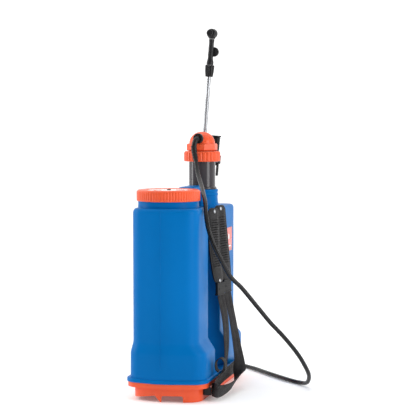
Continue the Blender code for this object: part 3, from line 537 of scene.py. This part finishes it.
def make_collar():
    """Collar with eight soft flats."""
    half_side = math.pi / 8

    def octagon(angle, r, z):
        if r < 0.0325:
            return r
        sector = (angle + half_side) % (2 * half_side) - half_side
        flat = r * math.cos(half_side) / math.cos(sector)
        return flat * 0.9 + r * 0.095
    collar = [(0.0316, 0.5562), (0.0352, 0.5562), (0.0371, 0.5578), (0.0373, 0.5600), (0.0373, 0.5690),
              (0.0368, 0.5715), (0.0350, 0.5730), (0.0316, 0.5730)]
    piece("octagon_collar", turned(soften(collar, 0.0005), 160, octagon, True, PUMP_PLACE), ORANGE,
          smooth=30, stands_for=("lock_collar",))


def make_dome():
    """Elliptical dome with shallow grooves down it, and the spigot that the outlet screws on."""
    groove_foot, groove_least_r, grooves, groove_depth = 0.5760, 0.006, 14, 0.0011

    def ribbed(angle, r, z):
        if z < groove_foot or r < groove_least_r:
            return r
        groove = max(0.0, math.cos(angle * grooves)) ** 8
        fade = min(1.0, (z - groove_foot) / 0.004, (r - groove_least_r) / 0.006)
        return r - groove_depth * groove * fade
    dome = [(0.0300, 0.5562), (0.0307, 0.5580)]
    steps = 18
    for k in range(steps + 1):
        turn = math.radians(90) * k / steps
        dome.append((max(DOME_R * math.cos(turn), AXIS_R), DOME_FOOT + DOME_HEIGHT * math.sin(turn)))
    piece("dome_cap", turned(dome, 144, ribbed, place=PUMP_PLACE), ORANGE, smooth=50,
          stands_for=("chamber_dome",))
    spigot = [(AXIS_R, -DOME_R), (0.0105, -DOME_R), (0.0105, -0.0180)]
    at = Matrix.Translation((PUMP_X, PUMP_Y, OUTLET_Z)) @ SIDEWAYS
    piece("dome_spigot", turned(spigot, 40, place=at), ORANGE, smooth=50)


# ---- straps --------------------------------------------------------------------------------------
# Each row is a place on the strap's middle line and the direction of its width there.
PAD_NEAR = [(-0.049, -0.0775, 0.428, 0.93, -0.37, 0), (-0.049, -0.0785, 0.385, 0.93, -0.37, 0),
            (-0.049, -0.0805, 0.335, 0.93, -0.37, 0), (-0.048, -0.0865, 0.285, 0.94, -0.34, 0),
            (-0.0465, -0.0920, 0.2545, 0.95, -0.30, 0)]
PAD_FAR = [(0.024, -0.0745, 0.430, 0.93, -0.37, 0), (0.024, -0.0785, 0.385, 0.93, -0.37, 0),
           (0.024, -0.0835, 0.335, 0.93, -0.37, 0), (0.023, -0.0890, 0.285, 0.94, -0.34, 0),
           (0.0205, -0.0922, 0.2545, 0.95, -0.30, 0)]
WEB_NEAR = [(-0.0450, -0.0947, 0.2268, 0.95, -0.30, 0), (-0.036, -0.1030, 0.170, 0.96, -0.25, 0),
            (-0.028, -0.1045, 0.110, 0.98, -0.15, 0), (-0.030, -0.1030, 0.075, 1, 0, -0.3),
            (-0.045, -0.1015, 0.048, 0.7, 0.1, -0.8), (-0.085, -0.1005, 0.032, 0.2, 0.25, -0.95),
            (-0.125, -0.0995, 0.0230, 0, 0.15, -1), (-0.1465, -0.0985, 0.0225, 0, 0, -1)]
WEB_FAR = [(0.0205, -0.0947, 0.2268, 0.95, -0.30, 0), (0.026, -0.1065, 0.160, 0.95, -0.30, 0),
           (0.030, -0.1160, 0.100, 0.90, -0.40, 0.1), (0.026, -0.1230, 0.060, 0.75, -0.55, 0.35),
           (0.004, -0.1265, 0.034, 0.35, -0.60, 0.70), (-0.040, -0.1250, 0.0205, 0.05, -0.50, 0.87),
           (-0.100, -0.1215, 0.0175, 0, -0.40, 0.90), (-0.1480, -0.1160, 0.0205, 0, -0.20, 0.98),
           (-0.1600, -0.1105, 0.025, 0, 0, 1), (-0.1500, -0.1056, 0.030, 0, -0.10, 1),
           (-0.110, -0.1050, 0.036, 0, -0.20, 0.97), (-0.040, -0.1065, 0.042, 0, -0.15, 0.98),
           (0.060, -0.1040, 0.043, 0, 0, 1), (0.1400, -0.0995, 0.038, 0, 0, 1)]
TAIL_LOOP = [(-0.1230, -0.1135, 0.0565, 1, 0, 0), (-0.1220, -0.1240, 0.0660, 1, 0, 0),
             (-0.1210, -0.1230, 0.0830, 1, 0, 0), (-0.1200, -0.1130, 0.0920, 1, 0, 0),
             (-0.1190, -0.1020, 0.0830, 1, 0, 0), (-0.1180, -0.1015, 0.0680, 1, 0, 0),
             (-0.1170, -0.1075, 0.0600, 1, 0, 0)]


def strap(name, route, width, thick, finish, stands_for, count, section):
    """A strap through the rows of a route; section(share, run) is its outline in half widths and heights."""
    rows, length = curve_points(route, count)
    centres, across = rows[:, :3], rows[:, 3:]
    rings = []
    for i, centre in enumerate(centres):
        run = centres[min(i + 1, count - 1)] - centres[max(i - 1, 0)]
        run /= np.linalg.norm(run)
        side = across[i] - run * (across[i] @ run)
        side /= np.linalg.norm(side)
        up = np.cross(run, side)
        share = i / (count - 1)
        rings.append([tuple(centre + side * u * width / 2 + up * v * thick / 2)
                      for u, v in section(share, share * length)])
    bm = rings_to_bmesh(rings)
    uv = bm.loops.layers.uv.new("UVMap")
    ring_size = len(rings[0])
    bm.verts.index_update()
    for face in bm.faces:
        for loop in face.loops:
            row, column = divmod(loop.vert.index, ring_size)
            place = section(0.5, 0.0)[column]
            loop[uv].uv = (place[0] * width / 2, row / (count - 1) * length)
    return piece(name, bm, finish, smooth=50, stands_for=stands_for)


def webbing_section(share, run):
    """Flat woven tape with a soft selvedge and two thicker bands along it, the same all the way."""
    side = [(0.28, 0.68), (0.35, 0.95), (0.55, 0.95), (0.62, 0.70), (0.94, 0.85), (0.985, 0.6), (1.0, 0.0)]
    outer = [(-u, v) for u, v in reversed(side)] + side
    return outer + [(u, -v) for u, v in reversed(outer[1:-1])]


PAD_RIB_PITCH = 0.0056
PAD_WIDTH, PAD_THICK = 0.042, 0.0088
WEB_WIDTH, WEB_THICK, TAIL_WIDTH = 0.030, 0.0018, 0.022
PAD_TILT = -math.atan2(0.37, 0.93)         # how the pads' upper ends turn about the upright
KEEPER_TILT = -math.atan2(0.30, 0.95)
KEEPER_Z = 0.2298
RIVETS = {"near": (-0.0505, -0.0812, 0.4200), "far": (0.0225, -0.0782, 0.4220),
          "lower": (-0.0490, -0.0935, 0.2600)}


def pad_section(share, run):
    """Padded strap: rounded tips, rolled edges, and a corrugated band along its middle."""
    tip = min(1.0, share / 0.07, (1 - share) / 0.10)
    body = 0.40 + 0.60 * math.sqrt(max(0.0, 1 - (1 - tip) ** 2))
    ribbed = ease((share - 0.13) / 0.02) * ease((0.80 - share) / 0.02)
    wave = abs(math.sin(math.pi * run / PAD_RIB_PITCH)) ** 0.7
    band = 0.78 + ribbed * (0.22 - 0.62 * (1 - wave))
    full = 0.60 + 0.40 * ease(tip)
    side = [(0.30, band), (0.62, band), (0.74, 0.62), (0.80, 0.30), (0.87, 0.50), (0.94, 0.52), (0.985, 0.40),
            (1.0, 0.05)]
    half = [(-u, v) for u, v in reversed(side)] + [(0.0, band)] + side
    front = [(u, v * full) for u, v in half]
    ring = front + [(u, -min(v, 0.62 * full)) for u, v in reversed(front[1:-1])]
    return [(u * body, v) for u, v in ring]


def make_keeper(name, x, y):
    """Moulded keeper that joins a pad to its webbing: a rounded sleeve with a rim at each end."""
    rim = (0.0345, 0.0084, 0.0040)
    rows = [((0, 0, 0.0110), (0.0325, 0.0066, 0.0260)), ((0, 0, -0.0014), rim), ((0, 0, 0.0240), rim),
            ((0, -0.0030, 0.0110), (0.0200, 0.0022, 0.0070))]
    at = Matrix.Translation((x, y, KEEPER_Z)) @ Matrix.Rotation(KEEPER_TILT, 4, "Z")
    piece(name + "_frame", blocks(rows, at, bevel=0.0009), BLACK, stands_for=(name,))


def make_harness():
    for name, route in (("near", PAD_NEAR), ("far", PAD_FAR)):
        pad = strap(f"pad_{name}", route, PAD_WIDTH, PAD_THICK, PADDING, (f"shoulder_pad_{name}",),
                    340, pad_section)
    for name, route, width, count in (("near", WEB_NEAR, WEB_WIDTH, 120), ("far", WEB_FAR, WEB_WIDTH, 240),
                                      ("tail", TAIL_LOOP, TAIL_WIDTH, 60)):
        strap(f"web_{name}", route, width, WEB_THICK, WEBBING, (f"webbing_{name}",), count,
              webbing_section)
    make_keeper("buckle_near", -0.0457, -0.0932)
    make_keeper("buckle_far", 0.0205, -0.0933)
    turn = Matrix.Rotation(PAD_TILT, 4, "Z") @ Matrix.Rotation(math.radians(90), 4, "X")
    head = [(AXIS_R, 0.0019), (0.0026, 0.0017), (0.0040, 0.0009), (0.0044, 0.0), (AXIS_R, 0.0)]
    for name, place in RIVETS.items():
        rivet = turned(soften(head, 0.0004), 28, place=Matrix.Translation(place) @ turn)
        piece(f"rivet_{name}", rivet, STEEL)


# ---- hose ----------------------------------------------------------------------------------------
HOSE_R = 0.0050
HOSE_ROUTE = [
    (0.0403, -0.0086, 0.5665), (0.0375, -0.0103, 0.5540), (0.0280, -0.0165, 0.5330),
    (0.0080, -0.0258, 0.5085), (-0.0150, -0.0368, 0.4905), (-0.0430, -0.0490, 0.4745),
    (-0.0780, -0.0618, 0.4600), (-0.1075, -0.0730, 0.4440), (-0.1330, -0.0810, 0.4205),
    (-0.1470, -0.0890, 0.3910), (-0.1520, -0.1030, 0.3530), (-0.1490, -0.1210, 0.3170),
    (-0.1390, -0.1395, 0.2800), (-0.1220, -0.1624, 0.2520), (-0.1020, -0.1905, 0.2119),
    (-0.0810, -0.2186, 0.1714), (-0.0570, -0.2464, 0.1347), (-0.0280, -0.2712, 0.0945),
    (0.0000, -0.2849, 0.0605), (0.0300, -0.2887, 0.0335), (0.0620, -0.2785, 0.0118),
    (0.0910, -0.2565, 0.0054), (0.1170, -0.2273, 0.0054), (0.1927, -0.1628, 0.0054),
    (0.2539, -0.1144, 0.0054), (0.2972, -0.0713, 0.0054), (0.3010, -0.0330, 0.0095),
    (0.3110, -0.0020, 0.0420), (0.3030, 0.0190, 0.0880), (0.2890, 0.0310, 0.1400),
    (0.2775, 0.0390, 0.2000), (0.2710, 0.0428, 0.2600), (0.2680, 0.0421, 0.3280)]


def make_sleeve():
    """Tapered, ribbed strain relief where the hose leaves the outlet."""
    line, _ = curve_points(HOSE_ROUTE[:4], 60)
    last, reach = 33, 0.0022
    wide, taper, rib = 0.0068, 0.0014, 0.0004
    turns = np.linspace(0, math.tau, 28, endpoint=False)
    rings = []
    for i, centre in enumerate(line[:last + 1]):
        run = Vector(line[i + 1] - line[max(i - 1, 0)]).normalized()
        facing = run.to_track_quat("Z", "Y")
        ribbed = i % 6 < 3 and i < 30
        radius = wide - taper * i / last + (rib if ribbed else 0.0)
        middle = Vector(centre) - run * reach
        rings.append([middle + facing @ Vector((radius * math.cos(a), radius * math.sin(a), 0.0))
                      for a in turns])
    return piece("hose_sleeve", rings_to_bmesh(rings), BLACK, smooth=50)


def make_hose():
    points, length = curve_points(HOSE_ROUTE, 300)
    hose = tube("hose_line", points, HOSE_R, HOSE, stands_for=("hose",))
    make_sleeve()


# ---- gun and nozzle ------------------------------------------------------------------------------
GUN = Matrix.Translation((0.268, 0.021, 0.602)) @ Matrix.Rotation(math.radians(4.4), 4, "X")


STEM_SIDE = 0.0300
DIAL_SIDE, DIAL_Z = 0.0058, 0.1975
HEAD_Z = 0.2426


def flutes(count, depth, least):
    """Form with grooves along a turned piece wherever its radius is more than the least."""
    return lambda angle, r, z: r - depth * max(0.0, math.cos(angle * count)) ** 2 if r > least else r


def black_part(name, profile, steps, body=ROOT, form=None, closed=False, place=GUN, smooth=35.0,
               stands_for=()):
    """A turned piece of black plastic, along the gun unless another place is given."""
    mesh = turned(profile, steps, form, closed, place)
    piece(name, mesh, BLACK, body, smooth, stands_for)


def make_nozzle():
    nut = [(0.0053, 0.1640), (0.0104, 0.1640), (0.0114, 0.1626), (0.0115, 0.1600), (0.0112, 0.1500),
           (0.0098, 0.1385), (0.0092, 0.1346), (0.0053, 0.1346)]
    black_part("nozzle_nut_fine", soften(nut, 0.0006), 96, form=flutes(12, 0.0012, 0.0088), closed=True,
               stands_for=("nozzle_nut",))
    stem = [(0.0032, 0.1643), (0.0080, 0.1643), (0.0086, 0.1655), (0.0086, 0.1720), (0.0078, 0.1745),
            (0.0066, 0.1800), (0.0068, 0.1900), (0.0064, 0.2000), (0.0066, 0.2080), (0.0061, 0.2180),
            (0.0066, 0.2240), (0.0070, 0.2282), (0.0060, 0.2290), (AXIS_R, 0.2290)]
    black_part("nozzle_stem_fine", soften(stem, 0.001), 40, stands_for=("nozzle_stem",))
    turn = Matrix.Rotation(math.radians(78), 4, "Z") @ Matrix.Rotation(math.radians(-90), 4, "X")
    head = GUN @ Matrix.Translation((0.0, 0.0, HEAD_Z)) @ turn
    drum = [(AXIS_R, 0.0105), (0.0070, 0.0105), (0.0098, 0.0098), (0.0116, 0.0078), (0.0121, 0.0050),
            (0.0121, -0.0050), (0.0112, -0.0085), (0.0085, -0.0102), (AXIS_R, -0.0105)]
    black_part("nozzle_head_fine", soften(drum, 0.0012), 48, place=head, smooth=50,
               stands_for=("nozzle_head",))
    lobe = [(AXIS_R, 0.2400), (0.0080, 0.2398), (0.0090, 0.2370), (0.0088, 0.2320), (0.0078, 0.2296),
            (AXIS_R, 0.2296)]
    black_part("nozzle_lobe", soften(lobe, 0.001), 32, smooth=50)


def make_dial():
    at = Matrix.Translation(GUN @ Vector((0.0, -DIAL_SIDE, DIAL_Z))) @ SIDEWAYS
    knob = [(AXIS_R, 0.0073), (0.0112, 0.0073), (0.0122, 0.0082), (0.0122, 0.0132), (0.0112, 0.0140),
            (AXIS_R, 0.0140)]
    black_part("dial_knob", soften(knob, 0.0006), 120, "flow_dial", flutes(20, 0.0010, 0.0112), place=at,
               stands_for=("flow_dial",))


def make_bonnet():
    """Flanged bonnet of the gun's valve, with a stack of ribs below the flange."""
    ribs = [(AXIS_R, -0.0106), (0.0122, -0.0106), (0.0126, -0.0112), (0.0126, -0.0134), (0.0100, -0.0142)]
    neck, first, pitch = 0.0096, -0.0150, 0.0042
    for k in range(9):
        low = first - pitch * k
        crest = 0.0112 - 0.0002 * k
        ribs += [(neck, low), (crest, low - 0.0008), (crest, low - 0.0024), (neck, low - 0.0033)]
    ribs += [(0.0093, -0.0540), (0.0078, -0.0541), (0.0078, -0.0300)]
    at = GUN @ Matrix.Translation((0.0, -STEM_SIDE, 0.0))
    black_part("bonnet_ribbed", ribs, 48, place=at, smooth=50, stands_for=("valve_bonnet",))


def make_grip():
    grip = [(0.0062, -0.1264), (0.0132, -0.1264), (0.0142, -0.1290)]
    first, pitch, groove = -0.1340, 0.0062, 0.0010
    for k in range(15):
        low = first - pitch * k
        swell = 0.0149 - 0.0008 * abs(k - 5) / 10
        grip += [(swell, low), (swell, low - 0.0034), (swell - groove, low - 0.0042),
                 (swell - groove, low - 0.0054)]
    grip += [(0.0136, -0.2320), (0.0120, -0.2475), (0.0062, -0.2480)]
    piece("grip_sleeve", turned(grip, 48, place=GUN), GRIP, smooth=50,
          stands_for=("gun_grip",))


def make_sticker():
    """Plain film with a pale disc and a pale band."""
    low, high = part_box("sticker")
    bm = bmesh.new()
    steps = 24
    rows = [[bm.verts.new((low.x + (high.x - low.x) * i / steps, low.y, low.z + (high.z - low.z) * j))
             for i in range(steps + 1)] for j in (0, 1)]
    for i in range(steps):
        bm.faces.new((rows[0][i], rows[0][i + 1], rows[1][i + 1], rows[1][i]))
    film = piece("sticker_film", bm, STICKER, stands_for=("sticker",))
    thick = film.modifiers.new("thickness", "SOLIDIFY")
    thick.thickness = 0.0003
    x, y = (low.x + high.x) / 2, low.y - 0.0002
    disc_r = 0.0068
    at = Matrix.Translation((x - 0.006, y, high.z - 0.022)) @ Matrix.Rotation(math.radians(90), 4, "X")
    disc = turned([(AXIS_R, 0.0002), (disc_r, 0.0002), (disc_r, 0.0)], 40, place=at)
    piece("sticker_disc", disc, PALE)
    band = blocks([((0, 0, 0), (0.030, 0.0003, 0.0035))], Matrix.Translation((x, y, low.z + 0.012)))
    piece("sticker_band", band, PALE)


# ---- everything kept from the CAD ----------------------------------------------------------------
def paint_kept():
    paint(ORANGE, "base_skirt", edge=0.0012)
    paint(BLUE, "carry_handle", edge=0.0010)
    paint(BLACK, "outlet_nut", "outlet_elbow", "gun_body", "hose_nut_gun", "lance_nut", "nozzle_cap",
          "gun_clip_upper", "gun_clip_lower", "trigger", "lever_socket", "strap_anchor_near",
          "strap_anchor_far", "lower_hook_near", "lower_hook_far")
    paint(GRIP, "lever_grip")
    paint(STEEL, "lance_tube", "lever_tube", "lever_shaft", "crank_arm", "rod_yoke", "piston_rod",
          "trigger_pin", edge=0.0003)
    paint(STEEL, "inlet_ball", "outlet_ball", edge=0.0)
    paint(BRASS, "valve_stem", edge=0.0002)
    paint(WHITE, "strainer_basket", "pump_cylinder", "rod_guide", "piston", "crank_roller",
          "shaft_bearing_inner", "shaft_bearing_outer", edge=0.0004)
    paint(RUBBER, "lid_gasket", "vent_valve", "dome_o_ring", "piston_cup", edge=0.0002)


# ---- stage ---------------------------------------------------------------------------------------
AIM = (0, 0, 0.28)                    # where the side lights point
VIEW_WAY = (0.93, 0.23, 0.12)         # direction in which the background brightens
ROOM_DARK, ROOM_BRIGHT = 0.10, 1.25   # world strength behind the camera and behind the object


def area_light(name, place, target, size, power):
    data = bpy.data.lights.new(name, "AREA")
    data.shape = "RECTANGLE"
    data.size, data.size_y = size
    data.energy = power
    made = bpy.data.objects.new(name, data)
    made.location = place
    made.rotation_euler = (Vector(target) - Vector(place)).to_track_quat("-Z", "Y").to_euler()
    bpy.context.scene.collection.objects.link(made)


def make_stage():
    """White floor that glows a little, so that it melts into the background."""
    bm = bmesh.new()
    bmesh.ops.create_grid(bm, x_segments=2, y_segments=2, size=14.0)
    bmesh.ops.translate(bm, vec=(0, 0, -0.0006), verts=bm.verts)
    mesh = bpy.data.meshes.new("floor")
    bm.to_mesh(mesh)
    bm.free()
    floor = bpy.data.objects.new("floor", mesh)
    finish, _, shader, _ = graph("floor_white")
    shader.inputs["Base Color"].default_value = (0.95, 0.95, 0.95, 1)
    shader.inputs["Roughness"].default_value = 0.9
    shader.inputs["Emission Color"].default_value = (1, 1, 1, 1)
    shader.inputs["Emission Strength"].default_value = 0.12
    mesh.materials.append(finish)
    bpy.context.scene.collection.objects.link(floor)
    make_studio()


def make_studio():
    """White background behind the object, a darker room behind the camera, and soft side lights."""
    world = bpy.data.worlds.new("studio")
    world.use_nodes = True
    tree = world.node_tree
    back = tree.nodes["Background"]
    back.inputs["Color"].default_value = (1.0, 1.0, 1.0, 1)
    place = tree.nodes.new("ShaderNodeTexCoord")
    along = tree.nodes.new("ShaderNodeVectorMath")
    along.operation = "DOT_PRODUCT"
    along.inputs[1].default_value = VIEW_WAY
    tree.links.new(place.outputs["Generated"], along.inputs[0])
    ramp = tree.nodes.new("ShaderNodeMapRange")
    ramp.inputs["From Min"].default_value = -0.35
    ramp.inputs["From Max"].default_value = 0.75
    ramp.inputs["To Min"].default_value = ROOM_DARK
    ramp.inputs["To Max"].default_value = ROOM_BRIGHT
    tree.links.new(along.outputs["Value"], ramp.inputs["Value"])
    tree.links.new(ramp.outputs["Result"], back.inputs["Strength"])
    bpy.context.scene.world = world
    sun = bpy.data.lights.new("overhead", "SUN")
    sun.energy = 1.5
    sun.angle = math.radians(100)
    overhead = bpy.data.objects.new("overhead", sun)
    overhead.rotation_euler = (math.radians(-8), math.radians(-6), 0.0)
    bpy.context.scene.collection.objects.link(overhead)
    area_light("key", (-0.9, -2.7, 1.1), AIM, (1.2, 1.9), 44)
    area_light("rim", (-0.3, 2.7, 1.2), AIM, (0.7, 1.9), 34)
    area_light("front", (-3.6, 0.6, 1.9), (0, 0, 0.3), (1.0, 1.0), 9)
    bpy.context.scene.view_settings.view_transform = "Standard"


CAMERA_PLACE = (-3.4715, -0.911, 0.6525)
CAMERA_HEADING = Vector((0.971, 0.24, 0.0)).normalized()
CAMERA_TILT = math.radians(3.65)
CAMERA_LENS = 132.56


def make_camera():
    data = bpy.data.cameras.new("camera")
    data.sensor_width = 36.0
    data.lens = CAMERA_LENS
    data.clip_end = 100.0
    camera = bpy.data.objects.new("camera", data)
    look = CAMERA_HEADING * math.cos(CAMERA_TILT) - Vector((0, 0, 1)) * math.sin(CAMERA_TILT)
    camera.location = CAMERA_PLACE
    camera.rotation_mode = "QUATERNION"
    camera.rotation_quaternion = look.to_track_quat("-Z", "Y")
    bpy.context.scene.collection.objects.link(camera)
    bpy.context.scene.camera = camera


make_camera()
make_hose()
make_tank()
make_lid()
make_chamber()
make_ring_nut()
make_collar()
make_dome()
make_harness()
make_nozzle()
make_dial()
make_bonnet()
make_grip()
make_sticker()
paint_kept()
make_stage()
